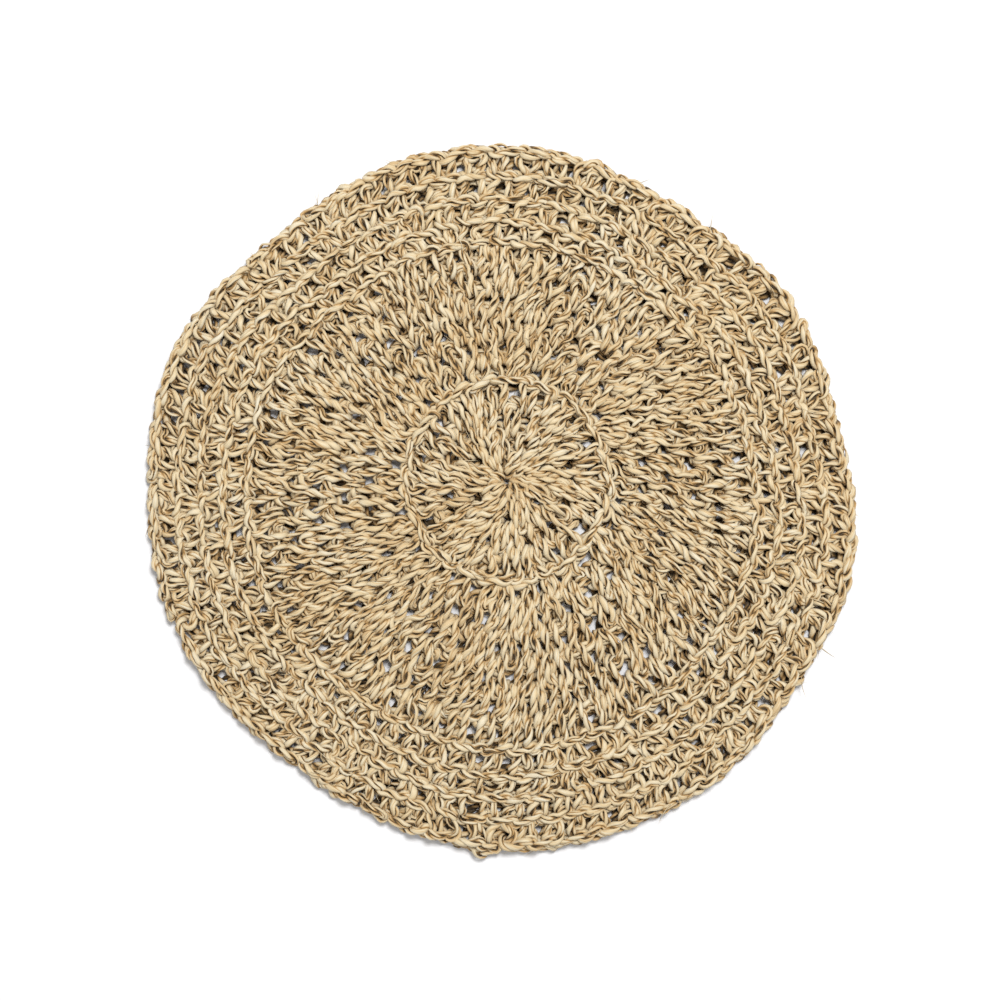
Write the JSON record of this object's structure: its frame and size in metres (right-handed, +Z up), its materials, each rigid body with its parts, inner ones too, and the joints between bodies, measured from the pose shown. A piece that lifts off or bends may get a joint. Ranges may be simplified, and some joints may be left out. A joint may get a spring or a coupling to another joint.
{
  "type": "chair seat pad",
  "caption": "Round flat crocheted seat pad of twisted seagrass cord, worked in rounds from an off-centre start, with raised ridges and a thick braided rim.",
  "frame": {"origin": "middle of the underside, on the surface that the pad lies on", "axes": "+Z up out of the seat side, with the pad's thickness along it; the starting loop lies off the middle towards +Y"},
  "size_m": [0.3788, 0.3768, 0.0117],
  "materials": {
    "seagrass_cord": "two-ply twisted dry seagrass, matt with a faint sheen along the blades",
    "seagrass_ridged": "the same cord in the raised free loops, a little paler where it is rubbed",
    "seagrass_rim": "the same cord in the thick braided rim, with rubbed outer faces"
  },
  "bodies": {
    "root": {"start_ring": "seagrass_cord", "round_01": "seagrass_cord", "round_02": "seagrass_cord", "round_03": "seagrass_cord", "round_04": "seagrass_ridged", "round_05": "seagrass_cord", "round_06": "seagrass_cord", "round_07": "seagrass_cord", "round_08": "seagrass_cord", "round_09": "seagrass_cord", "round_10": "seagrass_ridged", "round_11": "seagrass_ridged", "round_12": "seagrass_ridged", "round_13": "seagrass_ridged", "round_14": "seagrass_rim", "start_tail": "seagrass_cord", "finish_tail": "seagrass_cord", "end_knot": "seagrass_cord"}
  },
  "joints": []
}
